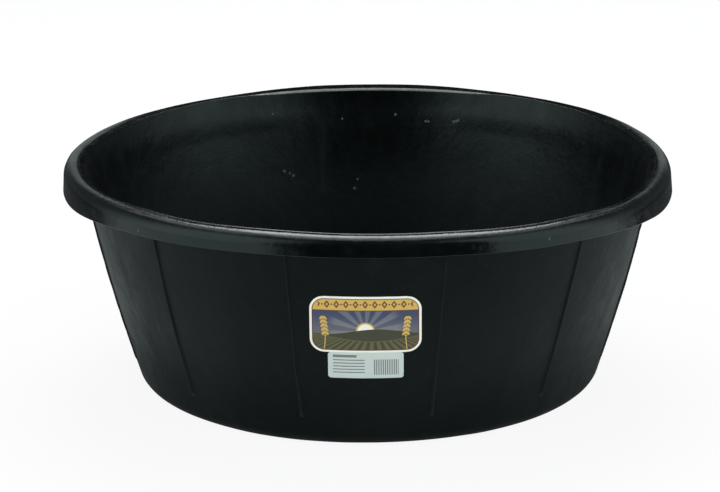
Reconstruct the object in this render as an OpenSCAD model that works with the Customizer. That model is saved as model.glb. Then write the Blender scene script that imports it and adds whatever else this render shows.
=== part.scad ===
// Rubber feed tub: a round, low, tapered tub that feed or water is put in.
// The floor cup, the wall sleeve, the rim bead and the ribs are separate pieces of rubber that
// meet face to face, and two thin stickers lie on the front of the wall.
// Origin: centre of the underside, on the ground. +Z is up, and the stickers face -Y.

/* [Tub] */
// Height from the ground to the top of the rim
tub_h = 246; // [200:1:300]
// Outside diameter of the wall at its top edge
mouth_d = 632; // [580:1:700]
// Outside diameter of the wall where its slope meets the ground
base_d = 494; // [440:1:540]
// Thickness of the wall
wall_t = 5.5; // [4:0.5:9]
// Thickness of the floor
floor_t = 9; // [6:0.5:14]
// Outside radius of the heel, between the underside and the wall
heel_r = 15; // [8:1:22]
// Inside radius between the floor and the wall
inner_heel_r = 20; // [10:1:30]

/* [Rim] */
// Width of the rim bead outside the top of the wall
rim_w = 16; // [12:0.5:24]
// Height of the rim bead
rim_h = 24; // [18:0.5:32]
// Radius of the bead's top outer corner
rim_crown_r = 10; // [4:0.5:16]
// Radius of the bead's lower outer edge
rim_edge_r = 1.5; // [1:0.5:5]
// Radius of the mouth's inner edge
lip_r = 6.5; // [1:0.5:8]
// Radius of each side of the groove between the bead and the wall
groove_r = 0.4; // [0.2:0.1:2]

/* [Skived joint between floor cup and wall] */
// Height of the joint on the outside
joint_z = 26; // [24:1:40]
// How far the joint climbs on its way through to the inside
joint_rise = 16; // [10:1:30]

/* [Ribs] */
// Number of ribs round the tub
rib_count = 12; // [6:1:24]
// Width of a rib at its root
rib_w = 4; // [3:0.5:8]
// Width of a rib at its crest
rib_crest_w = 2; // [1.5:0.5:3]
// How far a rib stands out from the wall
rib_proud = 2; // [1.5:0.5:5]
// Radius along the edges of a rib's crest
rib_edge_r = 0.8; // [0.3:0.1:0.9]
// Height of a rib's lower tip above the ground
rib_tip_z = 33; // [28:1:60]
// Length of the slope at the lower end of a rib
rib_tip_h = 5; // [2:0.5:12]

/* [Stickers] */
// Thickness of a sticker
film_t = 0.3; // [0.2:0.05:0.6]
// Thickness of the glue under a sticker
glue_t = 0.05; // [0.02:0.01:0.2]
// Height above the ground of the line where the two stickers meet
film_z = 113; // [90:1:130]
// Width of the picture sticker
picture_w = 112; // [80:1:116]
// Height of the picture sticker
picture_h = 64; // [30:1:70]
// Corner radius of the picture sticker
picture_r = 15; // [4:1:15]
// Width of the plain sticker
plain_w = 76; // [40:1:80]
// Height of the plain sticker
plain_h = 30; // [15:1:40]
// Corner radius of the plain sticker
plain_r = 3; // [1:0.5:5]

/* [Hidden] */
$fn = 180;
slope = (mouth_d - base_d) / 2 / tub_h;
taper = atan(slope);
rim_z = tub_h - rim_h;
rim_r = mouth_d / 2 + rim_w;
// A rounding is no larger than the wall or bead that it is on has room for. On the leaning wall, the
// mouth's inner edge takes up its radius over this figure, and the groove its radius times it
crown_r = min(rim_crown_r, rim_w - 2 * groove_r, rim_h - 2 * rim_edge_r);
lip_lean = tan(45 + taper / 2);
mouth_edge_r = min(lip_r, 0.98 * lip_lean * (wall_t / cos(taper) - lip_lean * groove_r));
// A blank that is trimmed to its seat starts this far inside it
trim = wall_t / 2;
rubber_black = [0.10, 0.105, 0.11];
film_print = [0.72, 0.62, 0.30];
film_white = [0.90, 0.90, 0.88];

function two_digits(i) = str(i < 10 ? "0" : "", i);
rib_names = [for (i = [1:rib_count]) str("rib_", two_digits(i))];

// Radius of the wall's outside and inside at height z
function wall_out(z) = base_d / 2 + z * slope;
function wall_in(z) = wall_out(z) - wall_t / cos(taper);
function unit(v) = v / norm(v);

// An arc of radius r that touches the lines from the corner c to a and to b: its centre, and the
// point where it touches the line to a
function half_corner(c, a, b) = acos(unit(a - c) * unit(b - c)) / 2;
function arc_centre(c, a, b, r) = c + unit(unit(a - c) + unit(b - c)) * r / sin(half_corner(c, a, b));
function arc_touch(c, a, b, r) = c + unit(a - c) * r / tan(half_corner(c, a, b));

// What is taken from the corner c to round it with that arc
module corner_sliver(c, a, b, r) {
    centre = arc_centre(c, a, b, r);
    difference() {
        polygon([c, arc_touch(c, a, b, r), centre, arc_touch(c, b, a, r)]);
        translate(centre) circle(r);
    }
}

// Floor, heel and the short upstand that the wall is lapped on
module floor_cup() {
    heel = [base_d / 2, 0];
    joint_out = [wall_out(joint_z), joint_z];
    joint_in = [wall_in(joint_z + joint_rise), joint_z + joint_rise];
    corner_in = [wall_in(floor_t), floor_t];
    middle = [0, floor_t];
    fillet = arc_centre(corner_in, joint_in, middle, inner_heel_r);
    color(rubber_black) rotate_extrude() difference() {
        polygon([
            [0, 0],
            heel,
            joint_out,
            joint_in,
            arc_touch(corner_in, joint_in, middle, inner_heel_r),
            fillet,
            arc_touch(corner_in, middle, joint_in, inner_heel_r),
            middle
        ]);
        corner_sliver(heel, [0, 0], joint_out, heel_r);
        translate(fillet) circle(inner_heel_r);
    }
}

// Tapered sleeve from the skived joint up to the mouth
module side_wall() {
    joint_out = [wall_out(joint_z), joint_z];
    joint_in = [wall_in(joint_z + joint_rise), joint_z + joint_rise];
    top_out = [wall_out(tub_h), tub_h];
    top_in = [wall_in(tub_h), tub_h];
    color(rubber_black) rotate_extrude() difference() {
        polygon([joint_out, top_out, top_in, joint_in]);
        corner_sliver(top_out, joint_out, top_in, groove_r);
        corner_sliver(top_in, top_out, joint_in, mouth_edge_r);
    }
}

// Heavy bead round the outside of the mouth
module rim_bead() {
    seat_low = [wall_out(rim_z), rim_z];
    seat_top = [wall_out(tub_h), tub_h];
    face_low = [rim_r, rim_z];
    face_top = [rim_r, tub_h];
    color(rubber_black) rotate_extrude() difference() {
        polygon([seat_low, face_low, face_top, seat_top]);
        corner_sliver(face_low, seat_low, face_top, rim_edge_r);
        corner_sliver(face_top, face_low, seat_top, crown_r);
        corner_sliver(seat_top, face_top, seat_low, groove_r);
    }
}

// Cross-section of a rib: x stands out from the wall, y runs round it
module rib_section() {
    left = [rib_proud, -rib_crest_w / 2];
    right = [rib_proud, rib_crest_w / 2];
    root_left = [0, -rib_w / 2];
    root_right = [0, rib_w / 2];
    difference() {
        polygon([[-trim, -rib_w / 2], root_left, left, right, root_right, [-trim, rib_w / 2]]);
        corner_sliver(left, root_left, right, rib_edge_r);
        corner_sliver(right, left, root_right, rib_edge_r);
    }
}

// Rib seen from the side: up the wall to the rim, with a sloped lower end
module rib_side_view() {
    stand = rib_proud / cos(taper);
    slope_top = rib_tip_z + rib_tip_h;
    polygon([
        [wall_out(rib_tip_z) - 2 * trim, rib_tip_z],
        [wall_out(rib_tip_z), rib_tip_z],
        [wall_out(slope_top) + stand, slope_top],
        [wall_out(rim_z) + stand, rim_z],
        [wall_out(rim_z) - 2 * trim, rim_z]
    ]);
}

// One rib, on the wall at number i of the ring, trimmed to the wall's cone
module rib(i) {
    color(rubber_black) rotate([0, 0, (i - 0.5) * 360 / rib_count - 90]) difference() {
        intersection() {
            translate([base_d / 2, 0, 0]) rotate([0, taper, 0])
                linear_extrude(tub_h / cos(taper)) rib_section();
            rotate([90, 0, 0]) linear_extrude(2 * rib_w, center = true) rib_side_view();
        }
        cylinder(h = tub_h, d1 = base_d, d2 = mouth_d);
    }
}

module rounded_panel(w, h, r) {
    square([w, h - 2 * r], center = true);
    square([w - 2 * r, h], center = true);
    for (x = [-1, 1], z = [-1, 1])
        translate([x * (w / 2 - r), z * (h / 2 - r)]) circle(r);
}

// A sheet of sticker film on the front of the wall, cut to the outline that is its child.
// The outline is drawn as seen from the front, with its middle at height z.
module wall_film(z, w, h) {
    low = z - h;
    high = z + h;
    back = glue_t / cos(taper);
    front = (glue_t + film_t) / cos(taper);
    half_angle = 2 * asin(w / 2 / wall_out(low));
    intersection() {
        rotate([0, 0, -90 - half_angle]) rotate_extrude(angle = 2 * half_angle) polygon([
            [wall_out(low) + back, low],
            [wall_out(low) + front, low],
            [wall_out(high) + front, high],
            [wall_out(high) + back, high]
        ]);
        translate([0, 0, z]) rotate([90, 0, 0]) linear_extrude(mouth_d) children();
    }
}

module picture_sticker() {
    color(film_print) wall_film(film_z + picture_h / 2, picture_w, picture_h)
        rounded_panel(picture_w, picture_h, picture_r);
}

module plain_sticker() {
    color(film_white) wall_film(film_z - plain_h / 2, plain_w, plain_h)
        rounded_panel(plain_w, plain_h, plain_r);
}

floor_cup();
side_wall();
rim_bead();
for (i = [1:rib_count])
    rib(i);
picture_sticker();
plain_sticker();
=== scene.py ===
"""Looks of the rubber feed tub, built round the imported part. Metres, +Z up, the stickers face -Y."""
import math

import bpy
import numpy as np
from mathutils import Matrix, Vector


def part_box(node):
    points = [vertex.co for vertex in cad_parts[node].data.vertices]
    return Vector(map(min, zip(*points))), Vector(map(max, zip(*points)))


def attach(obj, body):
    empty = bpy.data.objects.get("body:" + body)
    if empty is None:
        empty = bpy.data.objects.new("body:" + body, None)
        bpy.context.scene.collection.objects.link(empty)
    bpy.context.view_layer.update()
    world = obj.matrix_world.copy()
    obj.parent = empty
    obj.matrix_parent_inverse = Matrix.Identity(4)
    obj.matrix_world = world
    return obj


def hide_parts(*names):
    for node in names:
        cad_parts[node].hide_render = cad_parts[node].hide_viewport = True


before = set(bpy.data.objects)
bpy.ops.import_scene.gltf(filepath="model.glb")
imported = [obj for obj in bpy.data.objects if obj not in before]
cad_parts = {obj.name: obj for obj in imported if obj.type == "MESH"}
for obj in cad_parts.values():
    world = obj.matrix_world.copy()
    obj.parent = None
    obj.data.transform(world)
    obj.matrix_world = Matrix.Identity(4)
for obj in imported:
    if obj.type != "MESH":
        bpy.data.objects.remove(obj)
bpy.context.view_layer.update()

# Sizes of the tub, from the frame where it holds them
TUB_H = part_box("rim_bead")[1].z
RIM_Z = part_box("rim_bead")[0].z
RIM_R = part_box("rim_bead")[1].x
MOUTH_R = 0.316
BASE_R = 0.247
WALL_T = 0.0055
FLOOR_T = 0.009
HEEL_R = 0.018
INNER_HEEL_R = 0.020

# Radii of the edges of the rim and of the wall's top, of which three are wider at the front
RIM_EDGE_R = 0.0005
CROWN_R, FRONT_CROWN_R = 0.010, 0.0138
LIP_R, FRONT_LIP_R = 0.0008, 0.0013
GROOVE_R, FRONT_GROOVE_R = 0.0002, 0.0024

# Sloped joint between the floor cup and the wall
JOINT_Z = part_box("side_wall")[0].z
JOINT_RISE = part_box("floor_cup")[1].z - JOINT_Z

# Ribs and stickers
RIB_NAMES = sorted(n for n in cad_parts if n.startswith("rib_"))
RIB_TIP_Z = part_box(RIB_NAMES[0])[0].z
RIB_W = 0.004
RIB_PROUD = 0.0017
RIB_TIP_H = 0.005
FILM_T = 0.0003
GLUE_T = 0.00005
PICTURE_R = 0.015
PLAIN_R = 0.003

# Taper of the wall
SLOPE = (MOUTH_R - BASE_R) / TUB_H
TAPER = math.atan(SLOPE)

# Fineness of the lathed meshes
TURN = 540
RIM_TURN = 1200
ROW = 0.004
LEAST_ROWS = 8
HEEL_STEPS = 16
CROWN_STEPS = 16
GROOVE_STEPS = 12
LIP_STEPS = 10
EDGE_STEPS = 6

# Below these radii an arc counts as tight, and a point as on the axis
TIGHT_R = 0.001
ON_AXIS = 1e-9

# Smooth seeded unevenness: each layer of lumps has a size, a cell and a seed
MOULD_LAYERS = ((0.00035, 0.090, 3), (0.00012, 0.030, 5), (0.00004, 0.011, 8))


def lattice_value(ix, iy, iz, seed):
    """A fixed number from -1 to 1 for each lattice point."""
    h = (ix * 374761393 + iy * 668265263 + iz * 2147483647 + seed * 1274126177) & 0xFFFFFFFF
    h = ((h ^ (h >> 13)) * 1274126177) & 0xFFFFFFFF
    h = ((h ^ (h >> 16)) * 2246822519) & 0xFFFFFFFF
    return ((h ^ (h >> 15)) & 0xFFFF) / 32767.5 - 1.0


def lumps(points, cell, seed):
    """Smooth noise from -1 to 1 at the points, with lumps about as large as cell."""
    q = np.asarray(points, float) / cell
    i = np.floor(q).astype(np.int64)
    f = q - i
    f = f * f * f * (f * (f * 6 - 15) + 10)
    total = 0.0
    for corner in np.ndindex(2, 2, 2):
        weight = np.prod([f[..., k] if c else 1 - f[..., k] for k, c in enumerate(corner)], axis=0)
        total = total + weight * lattice_value(*(i[..., k] + c for k, c in enumerate(corner)), seed)
    return total


def layered(points, layers):
    """The sum of several layers of lumps at the points."""
    return sum(size * lumps(points, cell, seed) for size, cell, seed in layers)


def unevenness(points):
    """How far moulded rubber stands off its true surface."""
    return layered(points, MOULD_LAYERS)


# The soft tub isn't quite round or level: waves round the rim, each a count with its cosine and sine
RIM_LIFT = ((0, -0.0005, 0.0), (1, 0.0038, 0.0005), (2, -0.0006, -0.0004))
RIM_SPREAD = ((0, -0.0010, 0.0), (2, 0.0055, 0.0020), (3, -0.0030, 0.0012))
WALL_BULGE = 0.0031
FIRM_FLOOR_R = BASE_R * 0.8
# The rim sags on each side of the front, by these lengths at these angles
LEFT_SAG = ((15, 0.0), (38, 0.0020), (66, 0.0020), (86, 0.0))
RIGHT_SAG = ((12, 0.0), (36, 0.0030), (54, 0.0056), (64, 0.0050), (84, 0.0))
# The rim leans over by these degrees at angles from the front, its outer side up where they are positive
RIM_ROLL = ((60, 0), (120, -2), (150, -6), (172, 3))
ROLL_PIVOT_R = MOUTH_R - 0.002
ROLL_PIVOT_Z = TUB_H - 0.012
ROLL_FADE = ROLL_PIVOT_Z - 0.035, ROLL_PIVOT_Z - 0.004
# The lower edge of the rim runs a little high at the front and low at the sides
EDGE_RISE = 0.0045
EDGE_DROP = ((45, 0.0), (78, 0.0068), (95, 0.0060), (125, 0.0))
RIGHT_DROP = 0.15
# At the back the lip slopes down into the tub and leans in, more on the wall's inside than its outside
LIP_DIP = ((142, 0.0), (160, 0.56))
LIP_DIP_FROM = MOUTH_R - 0.0073
LIP_DIP_FADE = TUB_H - 0.030, TUB_H - 0.008
LIP_LEAN = ((142, 0.0), (160, 0.0054))
LIP_LEAN_SKIN = 0.001
LIP_LEAN_DEPTH = 0.004
LIP_LEAN_FADE = TUB_H - 0.110, TUB_H - 0.004
# At the sides the top rounds down into the tub
SIDE_DIP = ((45, 0.0), (62, 0.0032), (72, 0.0030), (112, 0.0008), (135, 0.0))
SIDE_DIP_FROM = MOUTH_R + 0.004
SIDE_DIP_FADE = TUB_H - 0.012, TUB_H - 0.002
SIDE_DIP_MOST = 1.2
# The crown of the rim is rounder at the front, and the groove between wall and rim is open there
CROWN_TURN = math.radians(35), math.radians(75)
GROOVE_TURN = math.radians(38), math.radians(60)


def wave(terms, angle):
    """The sum of the waves at an angle from the front."""
    return sum(c * np.cos(k * angle) + s * np.sin(k * angle) for k, c, s in terms)


def step(value, low, high):
    """0 below low, 1 above high, and a smooth rise between."""
    t = np.clip((value - low) / (high - low), 0, 1)
    return t * t * (3 - 2 * t)


def ease(stops, angle):
    """A smooth run through the stops, each an angle from the front in degrees and a value there."""
    degrees = np.degrees(np.abs(angle))
    value = stops[0][1] + 0 * degrees
    for (here, now), (there, then) in zip(stops, stops[1:]):
        value = value + (then - now) * step(degrees, here, there)
    return value


def settled(points):
    """The points after the tub has sagged to its uneven shape, which fades out towards the base."""
    p = np.array(points, float)
    radius = np.hypot(p[..., 0], p[..., 1])
    angle = np.arctan2(p[..., 0], -p[..., 1])
    height = p[..., 2]
    lean = np.radians(ease(RIM_ROLL, angle)) * step(height, *ROLL_FADE)
    out, up = radius - ROLL_PIVOT_R, height - ROLL_PIVOT_Z
    share = np.clip(height / TUB_H, 0, 1)
    outer = np.clip(radius / BASE_R, 0, 1)
    spread = share ** 2 * wave(RIM_SPREAD, angle) + WALL_BULGE * np.sin(np.pi * share)
    new_radius = radius + out * (np.cos(lean) - 1) - up * np.sin(lean) + spread * outer
    new_radius = np.where(radius < FIRM_FLOOR_R, radius, new_radius)
    p[..., 0] = new_radius * np.sin(angle)
    p[..., 1] = -new_radius * np.cos(angle)
    p[..., 2] += out * np.sin(lean) + up * (np.cos(lean) - 1)
    sag = ease(LEFT_SAG, np.minimum(angle, 0)) + ease(RIGHT_SAG, np.maximum(angle, 0))
    p[..., 2] += share ** 2 * (wave(RIM_LIFT, angle) - sag) * outer
    return p


def moulded(points, normals):
    """The points of a true shape, with the unevenness of the moulded and settled tub."""
    return settled(points + normals * unevenness(points)[:, None])


def with_rim(points, normals):
    """As moulded, for the wall and the rim, whose lip dips and whose lower edge isn't level."""
    p = np.array(points)
    z = points[:, 2]
    radius = np.hypot(p[:, 0], p[:, 1])
    angle = np.arctan2(p[:, 0], -p[:, 1])
    out = np.clip((radius - MOUTH_R) / (RIM_R - MOUTH_R), 0, 1)
    low = np.clip((TUB_H - z) / (TUB_H - RIM_Z), 0, 1)
    drop = ease(EDGE_DROP, angle) * (1 + RIGHT_DROP * np.sin(angle))
    p[:, 2] += out * low * (EDGE_RISE * np.cos(angle) ** 2 - drop)
    depth = np.clip((wall_out(z) - radius - LIP_LEAN_SKIN) / LIP_LEAN_DEPTH, 0, 1)
    lean = ease(LIP_LEAN, angle) * depth * step(z, *LIP_LEAN_FADE)
    dip = np.maximum(LIP_DIP_FROM - radius + lean, 0) * step(z, *LIP_DIP_FADE)
    p[:, 2] -= dip * ease(LIP_DIP, angle)
    inner = (SIDE_DIP_FROM - radius) / (SIDE_DIP_FROM - wall_in(TUB_H))
    inner = np.clip(inner, 0, SIDE_DIP_MOST)
    p[:, 2] -= ease(SIDE_DIP, angle) * inner ** 2 * step(z, *SIDE_DIP_FADE)
    p[:, :2] *= (1 - lean / radius)[:, None]
    return moulded(p, normals)


# Sections, as points (radius, height)

def wall_out(z):
    """Radius of the wall's outside at height z."""
    return BASE_R + z * SLOPE


def wall_in(z):
    """Radius of the wall's inside at height z."""
    return wall_out(z) - WALL_T / math.cos(TAPER)


def on_wall(angle, z, out):
    """Points on the uneven wall's outside, at angles from the front and heights z, out metres proud."""
    angle, z, out = np.broadcast_arrays(*(np.asarray(v, float) for v in (angle, z, out)))
    r = wall_out(z)
    base = np.stack([r * np.sin(angle), -r * np.cos(angle), z], -1)
    level = math.cos(TAPER)
    down = np.full(z.shape, -math.sin(TAPER))
    normal = np.stack([level * np.sin(angle), -level * np.cos(angle), down], -1)
    return settled(base + normal * (unevenness(base) + out)[..., None])


def section(*corners):
    """Points along a closed section, and which of them are sharp edges.

    Each corner is (r, z, radius, steps). One with a radius becomes an arc, with sharp ends if it is
    tight. One without is a sharp edge, unless it is on the axis. Straight runs are cut into rows.
    """
    spots = [np.array(c[:2]) for c in corners]
    arcs = []
    for i, (here, (_, _, radius, steps)) in enumerate(zip(spots, corners)):
        a = spots[i - 1] - here
        b = spots[(i + 1) % len(spots)] - here
        a, b = a / np.linalg.norm(a), b / np.linalg.norm(b)
        half = math.acos(a @ b) / 2
        if radius == 0:
            arcs.append([here])
            continue
        centre = here + (a + b) / np.linalg.norm(a + b) * radius / math.sin(half)
        start = here + a * radius / math.tan(half) - centre
        stop = here + b * radius / math.tan(half) - centre
        sweep = math.pi - 2 * half
        turn = [k / steps * sweep for k in range(steps + 1)]
        shares = [(math.sin(sweep - t), math.sin(t)) for t in turn]
        arcs.append([centre + (s * start + e * stop) / math.sin(sweep) for s, e in shares])
    points, sharp = [], []
    for i, arc in enumerate(arcs):
        points += arc
        tight = corners[i][2] < TIGHT_R and arc[0][0] > 0
        sharp += [tight] + [False] * (len(arc) - 2) + [tight] * (len(arc) > 1)
        run = arcs[(i + 1) % len(arcs)][0] - arc[-1]
        rows = max(LEAST_ROWS, round(np.linalg.norm(spots[(i + 1) % len(arcs)] - spots[i]) / ROW))
        points += [arc[-1] + run * k / rows for k in range(1, rows)]
        sharp += [False] * (rows - 1)
    return np.array(points), sharp


# Meshes

def new_mesh(name, vertices, faces, sharp_edges=()):
    """A smooth object of these vertices and faces, with some of its edges sharp."""
    mesh = bpy.data.meshes.new(name)
    mesh.from_pydata(np.asarray(vertices).tolist(), [], faces)
    mesh.update()
    mesh.shade_smooth()
    if sharp_edges:
        wanted = {tuple(sorted(e)) for e in sharp_edges}
        flags = [tuple(sorted(e.vertices)) in wanted for e in mesh.edges]
        mesh.attributes.new("sharp_edge", "BOOLEAN", "EDGE").data.foreach_set("value", flags)
    piece = bpy.data.objects.new(name, mesh)
    bpy.context.collection.objects.link(piece)
    return piece


def lathe(name, front, turn, shape, back=None, turns_over=(1.0, 2.0)):
    """The front section swept round the axis, turning into the back one.

    turns_over holds the angles from the front where that begins and ends. A section that touches the
    axis at its ends makes a closed cup. shape(points, normals) gives each point's final place.
    """
    back = back or front
    sharp = np.logical_or(front[1], back[1])
    sections = np.stack([front[0], back[0]])
    along = np.roll(sections, -1, 1) - np.roll(sections, 1, 1)
    normals = np.stack([along[..., 1], -along[..., 0]], -1)
    normals /= np.linalg.norm(normals, axis=-1, keepdims=True)
    angle = np.arange(turn) * 2 * math.pi / turn
    from_front = np.minimum(angle, 2 * math.pi - angle)
    share = step(from_front, *turns_over)[:, None]
    vertices, faces, sharp_edges, rings = [], [], [], []
    count = 0

    def swept(pairs):
        pairs = pairs[0] * (1 - share[:size]) + pairs[1] * share[:size]
        r, z = pairs[:, 0], pairs[:, 1]
        return np.stack([r * np.sin(angle[:size]), -r * np.cos(angle[:size]), z], -1)

    for k, is_sharp in enumerate(sharp):
        size = 1 if sections[0, k, 0] < ON_AXIS else turn
        vertices.append(shape(swept(sections[:, k]), swept(normals[:, k])))
        ring = [count + n % size for n in range(turn + 1)]
        rings.append(ring)
        count += size
        if is_sharp:
            sharp_edges += list(zip(ring, ring[1:]))
    for here, there in zip(rings, rings[1:] + rings[:1]):
        for k in range(turn):
            corners = (here[k], here[k + 1], there[k + 1], there[k])
            face = list(dict.fromkeys(corners))
            if len(face) > 2:
                faces.append(face)
    return new_mesh(name, np.concatenate(vertices), faces, sharp_edges)


def sheet(name, top, back):
    """A closed thin piece between two grids of points."""
    rows, columns = top.shape[:2]
    at = np.arange(rows * columns).reshape(rows, columns)
    under = rows * columns
    faces = []
    for i in range(rows - 1):
        for k in range(columns - 1):
            face = [int(v) for v in (at[i, k], at[i, k + 1], at[i + 1, k + 1], at[i + 1, k])]
            faces += [face, [v + under for v in reversed(face)]]
    edge = [int(v) for v in (*at[0, :-1], *at[:-1, -1], *at[-1, :0:-1], *at[:0:-1, 0])]
    faces += [(b, a, a + under, b + under) for a, b in zip(edge, edge[1:] + edge[:1])]
    return new_mesh(name, np.concatenate([top.reshape(-1, 3), back.reshape(-1, 3)]), faces)


# Node helpers

class Nodes:
    """A material's node tree, with short calls to add nodes."""

    def __init__(self, name):
        self.material = bpy.data.materials.new(name)
        self.material.use_nodes = True
        self.tree = self.material.node_tree
        self.tree.nodes.clear()
        self.output = self.tree.nodes.new("ShaderNodeOutputMaterial")

    @classmethod
    def of(cls, tree):
        """The same calls for a tree that exists, such as the world's."""
        nodes = cls.__new__(cls)
        nodes.tree = tree
        return nodes

    def add(self, kind, inputs=None, **settings):
        """A new node with these settings, and with its inputs fed."""
        node = self.tree.nodes.new(kind)
        for key, value in settings.items():
            setattr(node, key, value)
        for key, value in (inputs or {}).items():
            self.feed(node.inputs[key], value)
        return node

    def feed(self, socket, value):
        """A socket takes a link, a number or a colour."""
        if isinstance(value, bpy.types.NodeSocket):
            self.tree.links.new(value, socket)
        elif socket.type == "RGBA" and len(value) == 3:
            socket.default_value = (*value, 1.0)
        else:
            socket.default_value = value

    def finish(self, surface):
        """The material, with this node as its surface."""
        self.tree.links.new(surface.outputs[0], self.output.inputs["Surface"])
        return self.material

    def math(self, operation, *values):
        return self.add("ShaderNodeMath", dict(enumerate(values)), operation=operation).outputs[0]

    def blend(self, *weighted):
        """A weighted sum: blend((weight, value), ...)."""
        total = 0.0
        for weight, value in weighted:
            parts = {0: value, 1: weight, 2: total}
            total = self.add("ShaderNodeMath", parts, operation="MULTIPLY_ADD").outputs[0]
        return total

    def noise(self, coords, scale, detail=3.0, roughness=0.5, distortion=0.0):
        return self.add("ShaderNodeTexNoise", {
            "Vector": coords, "Scale": scale, "Detail": detail,
            "Roughness": roughness, "Distortion": distortion,
        }).outputs["Fac"]

    def remap(self, value, low, high, to_low=0.0, to_high=1.0, smooth=False):
        return self.add("ShaderNodeMapRange", {
            "Value": value, "From Min": low, "From Max": high, "To Min": to_low, "To Max": to_high,
        }, interpolation_type="SMOOTHSTEP" if smooth else "LINEAR").outputs["Result"]

    def mix(self, share, a, b):
        node = self.add("ShaderNodeMix", {0: share, 6: a, 7: b}, data_type="RGBA")
        return node.outputs[2]

    def stretch(self, coords, scale):
        return self.add("ShaderNodeMapping", {"Vector": coords, "Scale": scale}).outputs["Vector"]

    def place(self):
        """The spot on the tub, in metres."""
        return self.add("ShaderNodeTexCoord").outputs["Object"]


class Ink:
    """A number worked out by nodes, so that a print can be written as sums of x and y."""

    def __init__(self, t, socket):
        self.t, self.socket = t, socket

    def do(self, operation, *others):
        values = [o.socket if isinstance(o, Ink) else o for o in (self, *others)]
        return Ink(self.t, self.t.math(operation, *values))

    def __add__(self, other):
        return self.do("ADD", other)

    def __sub__(self, other):
        return self.do("SUBTRACT", other)

    def __mul__(self, other):
        return self.do("MULTIPLY", other)

    def __truediv__(self, other):
        return self.do("DIVIDE", other)

    def abs(self):
        return self.do("ABSOLUTE")

    def sin(self):
        return self.do("SINE")

    def wrap(self, size):
        """Repeats from minus half of size to plus half."""
        return self.do("WRAP", size / 2, -size / 2)

    def hypot(self, other):
        return (self * self + other * other).do("SQRT")

    def below(self, limit, soft=0.12):
        """1 where the number is below the limit, 0 where it is above, with a soft step."""
        return Ink(self.t, self.t.remap((self - limit).socket, -soft, soft, 1.0, 0.0, smooth=True))

    def above(self, limit, soft=0.12):
        return Ink(self.t, self.t.remap((self - limit).socket, -soft, soft, 0.0, 1.0, smooth=True))


def around(t):
    """The angle from the front in degrees and the height in millimetres."""
    split = t.add("ShaderNodeSeparateXYZ", {"Vector": t.place()})
    angle = Ink(t, split.outputs["X"]).do("ARCTAN2", Ink(t, split.outputs["Y"]) * -1.0).do("DEGREES")
    return angle, Ink(t, split.outputs["Z"]) * 1000.0


def most(inks):
    """The largest of several numbers."""
    first, *rest = inks
    for other in rest:
        first = first.do("MAXIMUM", other)
    return first


# Rubber

RUBBER_DARK = (0.0010, 0.0014, 0.0014)
RUBBER_PALE = (0.0026, 0.0034, 0.0034)
RUBBER_DUST = (0.026, 0.031, 0.031)
# Pale rubber, for scuffs and marks on the rim and for glints painted on inside the tub
RUBBER_SCUFF_AND_GLINT = (0.15, 0.165, 0.165)
SHEEN_TINT = (0.84, 1.0, 0.99)
UPRIGHT_STREAKS = (38.0, 38.0, 5.0)
EVEN_STREAKS = (60.0, 60.0, 60.0)
WALL_MM_PER_DEGREE = 5.1
RIM_MM_PER_DEGREE = 5.7


def rubber(name, roughness, shine, dusty, streaks, wear_and_glints=None, black=1.0, low_rough=(0.0, 60.0),
           grain=0.45):
    """Satin black rubber: cloudy tone, fine grain, flow streaks and a little dust.

    wear_and_glints(nodes) gives two masks, one for pale scuffs and painted glints and one for nicks.
    black scales the tone; the inside's darker copy is painted shade. low_rough is an added roughness
    and the height in millimetres below which it is added. grain is the strength of the bumps.
    """
    t = Nodes(name)
    place = t.place()
    cloud = t.noise(place, 7.0, 4.0, 0.55)
    mottle = t.noise(place, 46.0, 5.0, 0.6, 0.4)
    pebble = t.noise(place, 150.0, 3.0, 0.55)
    fine = t.noise(place, 520.0, 3.0, 0.6)
    streak = t.noise(t.stretch(place, streaks), 1.0, 4.0, 0.6)
    tone = t.remap(t.blend((0.55, cloud), (0.45, mottle)), 0.32, 0.68, smooth=True)
    dust = t.remap(t.math("MULTIPLY", streak, mottle), 0.30, 0.52, 0.0, dusty)
    dark, pale = (tuple(black * c for c in shade) for shade in (RUBBER_DARK, RUBBER_PALE))
    colour = t.mix(dust, t.mix(tone, dark, pale), RUBBER_DUST)
    rough = t.remap(t.blend((0.5, mottle), (0.5, streak)), 0.3, 0.7, roughness - 0.08, roughness + 0.10)
    rough = t.blend((1.0, rough), (low_rough[0], around(t)[1].below(low_rough[1], 60.0).socket))
    height = t.blend((0.25, fine), (0.40, pebble), (1.0, mottle), (0.4, streak))
    if wear_and_glints:
        scuff_and_glint, nick = wear_and_glints(t)
        colour = t.mix((scuff_and_glint * 0.7).socket, colour, RUBBER_SCUFF_AND_GLINT)
        height = t.blend((1.0, height), (-1.6, nick.socket))
    bump = t.add("ShaderNodeBump", {"Height": height, "Strength": grain, "Distance": 0.0012})
    return t.finish(t.add("ShaderNodeBsdfPrincipled", {
        "Base Color": colour, "Roughness": rough, "Normal": bump.outputs["Normal"],
        "Specular IOR Level": shine, "Specular Tint": SHEEN_TINT,
    }))


# Small marks, each an angle from the front in degrees, a height in millimetres and a size in millimetres
# The inside specks are painted pale as glints on small nicks, which the bumps also dent
INSIDE_SPECKS = (
    (-159.7, 153, 1.6), (-161.0, 150, 1.2), (-161.8, 147, 1.5), (-176.9, 139, 1.2), (-176.1, 129, 1.5),
    (161.4, 208, 1.6), (160.8, 209, 1.7), (160.3, 210, 1.3), (167.8, 206, 1.4), (167.2, 206, 1.3),
    (174.6, 212, 1.3), (-158, 219, 1.1), (-173.7, 208, 1.2),
)
RIM_SPECKS = ((-16.2, 226, 1.3), (-8.2, 225, 1.1), (-44.5, 229, 1.6), (33.5, 233, 1.5))
SPECK_WOBBLE = 0.8

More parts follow.
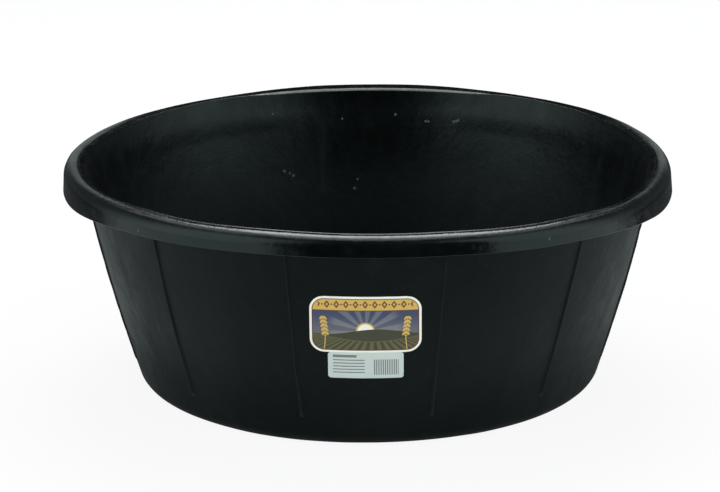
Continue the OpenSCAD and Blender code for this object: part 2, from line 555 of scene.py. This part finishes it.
# A pale line painted inside as the highlight along a faint ridge, ending in a painted foot: its angle at
# the floor, with its slant in degrees per millimetre of height
RIDGE_GLINT_ANGLE = -166.65
RIDGE_GLINT_SLANT = 0.0115
RIDGE_GLINT_LOW, RIDGE_GLINT_HIGH = 128.0, 211.0
RIDGE_GLINT_W = 4.0
FOOT_GLINT_OFF, FOOT_GLINT_Z = -3.0, 129.0
FOOT_GLINT_HALF_W, FOOT_GLINT_HALF_H = 8.0, 6.0

# Wear on the rim: angles from the front in degrees, and lengths and ways out from the mouth in mm
NICKS_FROM, NICKS_TO = -60.0, -39.0
NICKS_OUT, NICKS_HALF_W = 3.5, 2.5
SMUDGE_ANGLE, SMUDGE_Z, SMUDGE_R = 19.5, 235.0, 9.0
SPOT_ANGLE, SPOT_OUT, SPOT_R = -97.0, 4.0, 2.5
CREASE_ANGLE, CREASE_OUT, CREASE_HALF_W = 94.0, 3.0, 0.6


def specks(t, spots, mm_per_degree):
    """A mask of small spots with uneven edges."""
    angle, z = around(t)
    wobble = Ink(t, t.noise(t.place(), 400.0, 2.0)) * (2 * SPECK_WOBBLE) - SPECK_WOBBLE
    away = [((angle - a) * mm_per_degree).hypot(z - h) for a, h, _ in spots]
    return most([off.below(wobble + size, 0.5) for off, (_, _, size) in zip(away, spots)])


def inside_nicks_and_glints(t):
    """Painted glints: pale specks on small nicks, which are dented too, and one faint upright line near
    the back, painted as the highlight of a ridge, which ends in a painted foot.
    """
    angle, z = around(t)
    off = (angle + z * RIDGE_GLINT_SLANT - RIDGE_GLINT_ANGLE) * WALL_MM_PER_DEGREE
    ridge_glint = off.below(0.0, 0.5) * off.above(-RIDGE_GLINT_W, RIDGE_GLINT_W)
    ridge_glint = ridge_glint * z.above(RIDGE_GLINT_LOW, 3.0) * z.below(RIDGE_GLINT_HIGH, 6.0)
    foot_glint = ((off - FOOT_GLINT_OFF) / FOOT_GLINT_HALF_W).hypot((z - FOOT_GLINT_Z) / FOOT_GLINT_HALF_H).below(0.8, 0.4)
    ridge_glint = most([ridge_glint, foot_glint]) * Ink(t, t.noise(t.place(), 90.0, 3.0)).above(0.35, 0.25) * 0.045
    spots = specks(t, INSIDE_SPECKS, WALL_MM_PER_DEGREE)
    return (spots * 0.7).do("MAXIMUM", ridge_glint), spots


def rim_wear(t):
    """Nicks on the crest, a smudge on the face, specks low down, a pale spot on top and a crease."""
    angle, z = around(t)
    flat = t.stretch(t.place(), (1000.0, 1000.0, 0.0))
    radius = t.add("ShaderNodeVectorMath", {0: flat}, operation="LENGTH").outputs["Value"]
    out = Ink(t, radius) - MOUTH_R * 1000
    crest = angle.above(NICKS_FROM, 4.0) * angle.below(NICKS_TO, 4.0)
    crest = crest * (out - NICKS_OUT).abs().below(NICKS_HALF_W, 1.5)
    nick = crest * Ink(t, t.noise(t.place(), 330.0, 2.0, 0.6)).above(0.63, 0.04)
    smudge = (angle - SMUDGE_ANGLE) * (RIM_MM_PER_DEGREE / SMUDGE_R)
    smudge = smudge.hypot((z - SMUDGE_Z) / SMUDGE_R).below(0.7, 0.4)
    smudge = smudge * Ink(t, t.noise(t.place(), 210.0, 4.0, 0.7)).above(0.54, 0.10) * 0.08
    spots = specks(t, RIM_SPECKS, RIM_MM_PER_DEGREE)
    spot = (angle - SPOT_ANGLE) * (RIM_MM_PER_DEGREE / SPOT_R)
    spot = spot.hypot((out - SPOT_OUT) / SPOT_R).below(0.8, 0.5) * 0.4
    crease = ((angle - CREASE_ANGLE) * RIM_MM_PER_DEGREE).abs().below(CREASE_HALF_W, 0.5)
    crease = crease * out.above(CREASE_OUT, 1.0)
    scuffs = most([spots * 0.3, smudge, spot, nick * 0.04, crease * 0.15])
    return scuffs, most([nick * 1.4, spots, crease * 2.0])


# Lit and shaded copies of one rubber: the outer wall's tone is lifted (black 1.3) and the inside's
# darkened (0.45) as painted shade
wall_rubber = rubber("wall_rubber", 0.50, 0.11, 0.14, UPRIGHT_STREAKS, black=1.3, low_rough=(0.3, 60.0))
rib_rubber = rubber("rib_rubber", 0.68, 0.20, 0.20, UPRIGHT_STREAKS)
inside_rubber = rubber("inside_rubber", 0.36, 0.35, 0.02, UPRIGHT_STREAKS, inside_nicks_and_glints, black=0.45,
                       low_rough=(0.30, 150.0))
rim_rubber = rubber("rim_rubber", 0.19, 0.38, 0.10, EVEN_STREAKS, rim_wear, grain=0.27)


# How a face has to look up, or in, to count as the lip or the inside, with the lip cut short at the back
LIP_UP = 0.35
BACK_LIP_Y = 0.18
BACK_LIP_IN = 0.37
INSIDE_LOOK = 0.1


def line_inside(piece, inside, lip=None):
    """A second material on the faces that look inwards, and a third on those that look up."""
    for material in (inside, lip or inside):
        piece.data.materials.append(material)
    for face in piece.data.polygons:
        inward = -face.normal.to_2d().dot(face.center.to_2d().normalized())
        steep = BACK_LIP_IN if face.center.y > BACK_LIP_Y else face.normal.z
        if lip and face.normal.z > LIP_UP and inward < steep:
            face.material_index = 2
        elif inward > INSIDE_LOOK or face.normal.z > INSIDE_LOOK:
            face.material_index = 1


def dress(piece, material, slot, *nodes):
    """The piece takes the place of its CAD nodes, with this material, and moves with the tub."""
    piece.data.materials.append(material)
    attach(piece, "root")
    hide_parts(*nodes)


# Floor cup, wall and rim

joint_out = (wall_out(JOINT_Z), JOINT_Z, 0, 0)
joint_in = (wall_in(JOINT_Z + JOINT_RISE), JOINT_Z + JOINT_RISE, 0, 0)

cup_section = section(
    (0.0, 0.0, 0, 0),
    (BASE_R, 0.0, HEEL_R, HEEL_STEPS),
    joint_out,
    joint_in,
    (wall_in(FLOOR_T), FLOOR_T, INNER_HEEL_R, HEEL_STEPS),
    (0.0, FLOOR_T, 0, 0),
)
cup_skin = lathe("floor_cup_skin", cup_section, TURN, moulded)
dress(cup_skin, wall_rubber, "rubber", "floor_cup")
line_inside(cup_skin, inside_rubber)


def wall_section(groove_r, lip_r):
    """Section of the wall, with these radii at the top of its outside and its inside."""
    return section(
        joint_out,
        (wall_out(TUB_H), TUB_H, groove_r, GROOVE_STEPS),
        (wall_in(TUB_H), TUB_H, lip_r, LIP_STEPS),
        joint_in,
    )


wall_front, wall_back = wall_section(FRONT_GROOVE_R, FRONT_LIP_R), wall_section(GROOVE_R, LIP_R)
wall_skin = lathe("side_wall_skin", wall_front, TURN, with_rim, wall_back, GROOVE_TURN)
dress(wall_skin, wall_rubber, "rubber", "side_wall")
line_inside(wall_skin, inside_rubber, rim_rubber)


def rim_section(crown_r):
    """Section of the rim bead, with this radius at the top of its outside."""
    return section(
        (wall_out(RIM_Z), RIM_Z, 0, 0),
        (RIM_R, RIM_Z, RIM_EDGE_R, EDGE_STEPS),
        (RIM_R, TUB_H, crown_r, CROWN_STEPS),
        (wall_out(TUB_H), TUB_H, 0, 0),
    )


rim_front, rim_back = rim_section(FRONT_CROWN_R), rim_section(CROWN_R)
rim_skin = lathe("rim_bead_skin", rim_front, RIM_TURN, with_rim, rim_back, CROWN_TURN)
dress(rim_skin, rim_rubber, "rubber", "rim_bead")


# Ribs, which run a little way up inside the rim and back into the wall
RIB_ROWS, RIB_COLUMNS = 96, 15
RIB_TUCK_UP = 0.003
RIB_TUCK_IN = 0.0008
RIB_WAVER = ((0.16, 0.020, 21), (0.10, 0.007, 22))
RIB_DRIFT = ((0.0005, 0.050, 23),)


def rib_skin(name, angle):
    """A thin rib up the wall, rounded across, with a sloped tip and a crest that wavers a little."""
    z = np.linspace(RIB_TIP_Z, RIM_Z + RIB_TUCK_UP, RIB_ROWS)[:, None]
    across = np.linspace(-1, 1, RIB_COLUMNS)[None, :]
    line = np.concatenate([np.full(z.shape, math.sin(angle)), np.full(z.shape, -math.cos(angle)), z], -1)
    waver = 1 + layered(line, RIB_WAVER)
    drift = layered(line, RIB_DRIFT)
    rise = np.clip((z - RIB_TIP_Z) / RIB_TIP_H, 0, 1)
    proud = RIB_PROUD * rise * waver[:, None] * (0.5 + 0.5 * np.cos(np.pi * across))
    sideways = angle + (RIB_W / 2 * across + drift[:, None]) / wall_out(z)
    return sheet(name, on_wall(sideways, z, proud), on_wall(sideways, z, -RIB_TUCK_IN))


for number, rib_name in enumerate(RIB_NAMES):
    rib_angle = (number + 0.5) * 2 * math.pi / len(RIB_NAMES)
    dress(rib_skin(rib_name + "_skin", rib_angle), rib_rubber, "rubber", rib_name)


# Prints

def film(name, paint):
    """Sticker film. paint(nodes, x, y) gives its colour, with x and y in millimetres from its middle."""
    t = Nodes(name)
    spot = t.add("ShaderNodeUVMap", uv_map="print").outputs["UV"]
    split = t.add("ShaderNodeSeparateXYZ", {"Vector": spot})
    colour = paint(t, Ink(t, split.outputs["X"]), Ink(t, split.outputs["Y"]))
    haze = t.noise(t.place(), 240.0, 3.0, 0.6)
    bump = t.add("ShaderNodeBump", {"Height": haze, "Strength": 0.10, "Distance": 0.0004})
    return t.finish(t.add("ShaderNodeBsdfPrincipled", {
        "Base Color": colour, "Roughness": t.remap(haze, 0.3, 0.7, 0.34, 0.48),
        "Specular IOR Level": 0.35, "Normal": bump.outputs["Normal"],
    }))


def box_size_mm(node):
    """Width and height of a node, in millimetres."""
    low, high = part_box(node)
    return (high.x - low.x) * 1000, (high.z - low.z) * 1000


CREAM = (0.82, 0.81, 0.72)
MUSTARD = (0.57, 0.38, 0.090)
MAROON = (0.105, 0.022, 0.022)
SLATE = (0.042, 0.053, 0.105)
MIST = (0.110, 0.115, 0.140)
OLIVE = (0.042, 0.044, 0.024)
FIELD = (0.110, 0.096, 0.040)
PAPER = (0.52, 0.59, 0.56)
PENCIL = (0.075, 0.085, 0.085)

# Sizes of the prints, in millimetres from the middle of each
EDGE_W = 2.4
LINE_W = 0.9
BAND_LOW = 16.5
BAND_END = 8.5
LOZENGE_STEP = 9.6
LOZENGE_HALF_W, LOZENGE_HALF_H = 3.0, 4.4
DOT_R = 0.9
SUN_Y = -7.0
SUN_R, HALO_R, RAY_R = 7.8, 9.6, 36.0
RAY_COUNT = 14.0
STEM_X, STEM_HALF_W, STEM_TOP = 41.5, 0.45, 8.0
EAR_LOW, EAR_TOP = -13.0, 9.5
GRAIN_STEP, GRAIN_OUT = 4.4, 1.9
GRAIN_HALF_W, GRAIN_HALF_L = 1.25, 2.5
RULE_STEP, TICK_STEP, MARK_HALF_W = 3.6, 2.2, 0.6
HEAD_DOWN, HEAD_HALF_H, HEAD_END = 4.2, 1.5, -9.0
PAPER_MARGIN = 5.0


def paint_picture(t, x, y):
    """A made-up print: a patterned band over a low sun and rolling fields, with wheat on each side."""
    width, height = box_size_mm("picture_sticker")
    corner = PICTURE_R * 1000
    in_x = (x.abs() - (width / 2 - corner)).do("MAXIMUM", 0.0)
    in_y = (y.abs() - (height / 2 - corner)).do("MAXIMUM", 0.0)
    depth = in_x.hypot(in_y) * -1.0 + corner

    def over(colour, mask, ink):
        return t.mix(mask.socket, colour, ink)

    sun = x.hypot(y - SUN_Y)
    ray = (x.do("ARCTAN2", y - SUN_Y) * RAY_COUNT).sin()
    far = (x * 0.060 + 0.9).sin() * 3.0 - 8.0
    near = (x * 0.045 - 1.9).sin() * 4.0 - 15.0
    furrow = ((x - 8.0) / (y * -1.0 + 2.0) * 22.0).sin()
    colour = t.mix(t.remap(y.socket, -10.0, 14.0, smooth=True), MIST, SLATE)
    colour = over(colour, ray.above(0.0, 0.25) * sun.below(RAY_R, 6.0) * 0.10, CREAM)
    colour = over(colour, sun.below(HALO_R), MUSTARD)
    colour = over(colour, sun.below(SUN_R), CREAM)
    colour = over(colour, (y - far).below(0.0), OLIVE)
    colour = over(colour, (y - near).below(0.0), FIELD)
    colour = over(colour, (y - near).below(-0.9) * furrow.above(0.1, 0.35), OLIVE)

    stem_x = x.abs() - STEM_X - (y * 0.11).sin() * 1.2
    grain_y = (y + 1.4).wrap(GRAIN_STEP)
    grain_x = stem_x.abs() - GRAIN_OUT
    tall = (grain_x * 0.80 + grain_y * 0.60) / GRAIN_HALF_W
    wide = (grain_x * 0.60 - grain_y * 0.80) / GRAIN_HALF_L
    ear = tall.hypot(wide).below(1.0, 0.10) * y.above(EAR_LOW) * y.below(EAR_TOP)
    stem = stem_x.abs().below(STEM_HALF_W) * y.below(STEM_TOP)
    colour = over(colour, ear.do("MAXIMUM", stem), MUSTARD)

    band_y = y - (BAND_LOW + height / 2 - EDGE_W) / 2
    lozenge = x.wrap(LOZENGE_STEP).abs() / LOZENGE_HALF_W + band_y.abs() / LOZENGE_HALF_H
    dot = (x + LOZENGE_STEP / 2).wrap(LOZENGE_STEP).hypot(band_y)
    inside_band = x.abs().below(width / 2 - BAND_END)
    colour = over(colour, y.above(BAND_LOW - LINE_W), MAROON)
    colour = over(colour, y.above(BAND_LOW), MUSTARD)
    colour = over(colour, (lozenge.below(1.0, 0.10) - lozenge.below(0.45, 0.10)) * inside_band, MAROON)
    colour = over(colour, dot.below(DOT_R) * inside_band, MAROON)
    colour = over(colour, depth.below(EDGE_W + LINE_W), MAROON)
    return over(colour, depth.below(EDGE_W), CREAM)


def paint_plain(t, x, y):
    """Plain paper with ruled lines on one side and an even scale of ticks on the other."""
    width, height = box_size_mm("plain_sticker")
    start = PAPER_MARGIN - width / 2
    rule = (y + 1.0).wrap(RULE_STEP).abs().below(MARK_HALF_W) * y.abs().below(height / 2 - 6.0)
    rule = rule * x.below(-1.0) * x.above(start)
    head = (y - (height / 2 - HEAD_DOWN)).abs().below(HEAD_HALF_H) * x.below(HEAD_END) * x.above(start)
    tick = x.wrap(TICK_STEP).abs().below(MARK_HALF_W) * x.above(7.5) * x.below(-start)
    tick = tick * y.below(height / 2 - 8.0) * y.above(4.0 - height / 2)
    marks = rule.do("MAXIMUM", head).do("MAXIMUM", tick)
    return t.mix((marks * 0.8).socket, PAPER, PENCIL)


STICKER_ROWS, STICKER_COLUMNS = 96, 128


def sticker_skin(name, node, slot, corner, material):
    """A thin sheet on the wall in the node's place, with rounded corners.

    Its print map is in millimetres from the sticker's middle.
    """
    low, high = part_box(node)
    half_w, half_h = (high.x - low.x) / 2, (high.z - low.z) / 2
    y = np.linspace(-half_h, half_h, STICKER_ROWS)[:, None]
    over = np.clip(np.abs(y) - (half_h - corner), 0, corner)
    reach = half_w - corner + np.sqrt(np.maximum(corner ** 2 - over ** 2, 0))
    x = np.linspace(-1, 1, STICKER_COLUMNS)[None, :] * reach
    z = (low.z + high.z) / 2 + y + 0 * x
    angle = np.arcsin(x / wall_out(z))
    piece = sheet(name, on_wall(angle, z, GLUE_T + FILM_T), on_wall(angle, z, GLUE_T))
    flat = np.stack([x, y + 0 * x], -1).reshape(-1, 2) * 1000.0
    flat = np.concatenate([flat, flat])
    corners = np.array([loop.vertex_index for loop in piece.data.loops])
    layer = piece.data.uv_layers.new(name="print")
    layer.uv.foreach_set("vector", flat[corners].astype(np.float32).ravel())
    dress(piece, material, slot, node)


picture_film = film("picture_print", paint_picture)
plain_film = film("plain_print", paint_plain)
sticker_skin("picture_sticker_skin", "picture_sticker", "sticker_print", PICTURE_R, picture_film)
sticker_skin("plain_sticker_skin", "plain_sticker", "sticker_white", PLAIN_R, plain_film)


# Floor, lamps and camera

COOL = (0.88, 0.99, 1.0)


def panel(name, corners, material):
    """A flat piece of the stage."""
    obj = new_mesh(name, corners, [tuple(range(len(corners)))])
    obj.data.materials.append(material)
    return obj


def pale_floor():
    """Pale floor, white to the camera and a little cool in reflections, which keeps the tub's shadow."""
    t = Nodes("pale_floor")
    rays = t.add("ShaderNodeLightPath").outputs
    seen = t.math("MAXIMUM", rays["Is Camera Ray"],
                  t.math("MAXIMUM", rays["Is Glossy Ray"], rays["Is Transmission Ray"]))
    lit = t.add("ShaderNodeBsdfDiffuse", {"Color": (0.88, 0.88, 0.88)})
    tint = t.mix(rays["Is Camera Ray"], COOL, (1.0, 1.0, 1.0))
    glow = t.add("ShaderNodeEmission", {"Color": tint, "Strength": 1.0})
    both = {0: t.math("MULTIPLY", seen, 0.90), 1: lit.outputs[0], 2: glow.outputs[0]}
    return t.finish(t.add("ShaderNodeMixShader", both))


def felt(name, grey):
    """Even grey in reflections, near and far."""
    t = Nodes(name)
    return t.finish(t.add("ShaderNodeEmission", {"Color": COOL, "Strength": grey}))


FLOOR_HALF = 9.0
FLOOR_Z = -0.0006
floor_corners = ((-1, -1), (1, -1), (1, 1), (-1, 1))
panel("floor", [(x * FLOOR_HALF, y * FLOOR_HALF, FLOOR_Z) for x, y in floor_corners], pale_floor())


def hidden_cloth(name, material, corners):
    """A cloth that only reflections show."""
    cloth = panel(name, corners, material)
    cloth.visible_camera = False
    cloth.visible_diffuse = False
    cloth.visible_shadow = False


def on_floor(places, side=1):
    """Corners on the floor, mirrored to the left where side is -1."""
    return [(side * x, y, 0.0) for x, y in places]


def upright(left, right, y, top):
    """Corners of a cloth that stands on the floor."""
    return [(left, y, 0.0), (right, y, 0.0), (right, y, top), (left, y, top)]


# Cloths lying and standing keep the front of the rim dark, and its sides and top towards the back
FRONT_LEFT, FRONT_RIGHT, FRONT_Y, FRONT_TOP = -0.52, 0.78, -0.95, 1.1
FRONT_CLOTH = ((-0.29, -0.60), (FRONT_LEFT, FRONT_Y), (FRONT_RIGHT, FRONT_Y), (0.43, -0.60))
BACK_CLOTH = ((-0.45, 0.70), (0.45, 0.70), (0.45, 9.0), (-0.45, 9.0))
BACK_HALF_W, BACK_Y, BACK_TOP = 0.41, 1.60, 1.3
SIDE_CLOTH = ((0.80, 0.34), (0.95, 0.10), (9.0, 3.5), (9.0, 9.0), (0.45, 9.0), (0.45, 0.70))
EDGE_CLOTH = ((0.95, 0.10), (1.0, 0.0), (9.0, 2.2), (9.0, 3.5))
black = felt("black_felt", 0.01)
grey = felt("grey_felt", 0.08)
pale = felt("pale_felt", 0.45)
hidden_cloth("front_floor_cloth", black, on_floor(FRONT_CLOTH))
hidden_cloth("front_cloth", black, upright(FRONT_LEFT, FRONT_RIGHT, FRONT_Y, FRONT_TOP))
for side_name, side in (("left", -1), ("right", 1)):
    hidden_cloth(side_name + "_floor_cloth", grey, on_floor(SIDE_CLOTH, side))
    hidden_cloth(side_name + "_edge_cloth", pale, on_floor(EDGE_CLOTH, side))
hidden_cloth("back_floor_cloth", black, on_floor(BACK_CLOTH))
hidden_cloth("back_cloth", black, upright(-BACK_HALF_W, BACK_HALF_W, BACK_Y, BACK_TOP))


def softbox(name, place, aim, size, radiance, mirrored=True):
    """A rectangular lamp, turned to the point aim. Its power follows from its size and brightness."""
    lamp = bpy.data.lights.new(name, "AREA")
    lamp.shape = "RECTANGLE"
    lamp.size, lamp.size_y = size
    lamp.energy = radiance * math.pi * size[0] * size[1]
    obj = bpy.data.objects.new(name, lamp)
    obj.location = place
    obj.rotation_euler = (Vector(aim) - Vector(place)).to_track_quat("-Z", "Y").to_euler()
    obj.visible_camera = False
    obj.visible_glossy = mirrored
    bpy.context.collection.objects.link(obj)


# Lamps, each with its place, the point it is turned to, its size and its brightness
softbox("top_back_light", (0.0, 1.32, 2.07), (0.0, 0.22, 0.06), (1.45, 1.16), 6.8)
softbox("top_front_light", (0.0, 0.37, 2.60), (0.0, -0.73, 0.59), (1.45, 1.02), 2.2)
for side_name, side in (("left", -1), ("right", 1)):
    wing_place, wing_aim = (side * 1.02, 0.8, 2.2), (side * 0.9, -0.2, 0.24)
    softbox(side_name + "_wing_light", wing_place, wing_aim, (0.6, 1.7), 1.1)
softbox("front_fill", (0.5, -3.0, 1.0), (0.0, 0.0, 0.13), (1.4, 1.0), 10.0, mirrored=False)

# The room is dark but for a soft glow left and right of the camera, at the sides and low at the back
ROOM_DARK = 0.04
LEFT_GLOW, RIGHT_GLOW, SIDE_GLOW, BACK_GLOW = 1.25, 1.1, 0.11, 0.4
GLOW_FROM, LEFT_GLOW_TO, RIGHT_GLOW_TO = 38.0, -102.0, 104.0
world = bpy.data.worlds.new("studio")
world.use_nodes = True
room = Nodes.of(world.node_tree)
direction = room.add("ShaderNodeTexCoord").outputs["Generated"]
look = room.add("ShaderNodeSeparateXYZ", {"Vector": direction}).outputs
bearing = Ink(room, look["X"]).do("ARCTAN2", Ink(room, look["Y"]) * -1.0).do("DEGREES")
left = bearing.below(-GLOW_FROM, 4.0) * bearing.above(LEFT_GLOW_TO, 24.0)
right = bearing.above(GLOW_FROM, 4.0) * bearing.below(RIGHT_GLOW_TO, 24.0)
wide = bearing.abs().above(80.0, 8.0) * bearing.abs().below(150.0, 20.0)
back = bearing.abs().above(160.0, 10.0) * Ink(room, look["Z"]).below(0.42, 0.08)
not_overhead = Ink(room, look["Z"]).below(0.88, 0.10)
round_about = left * LEFT_GLOW + right * RIGHT_GLOW + wide * SIDE_GLOW
glow = round_about * not_overhead + back * BACK_GLOW + ROOM_DARK
sky = world.node_tree.nodes["Background"]
room.feed(sky.inputs["Color"], COOL)
room.feed(sky.inputs["Strength"], glow.socket)
bpy.context.scene.world = world

# Camera, at the photograph's viewing angle
FRAME_WIDTH_PX = 720
FOCAL_PX = 3545.0
CAMERA_PLACE = (0.0, -3.700, 1.244)
CAMERA_ORBIT = math.radians(0.7)
CAMERA_PITCH = math.radians(16.58)
CAMERA_TURN = math.radians(0.142)
CAMERA_ROLL = math.radians(-0.369)

camera_data = bpy.data.cameras.new("camera")
camera_data.sensor_width = 36.0
camera_data.lens = camera_data.sensor_width * FOCAL_PX / FRAME_WIDTH_PX
camera = bpy.data.objects.new("camera", camera_data)
bpy.context.collection.objects.link(camera)
camera.matrix_world = (
    Matrix.Rotation(CAMERA_ORBIT, 4, "Z")
    @ Matrix.Translation(CAMERA_PLACE)
    @ Matrix.Rotation(CAMERA_TURN, 4, "Z")
    @ Matrix.Rotation(math.pi / 2 - CAMERA_PITCH, 4, "X")
    @ Matrix.Rotation(CAMERA_ROLL, 4, "Z")
)
bpy.context.scene.camera = camera
bpy.context.scene.view_settings.view_transform = "Standard"
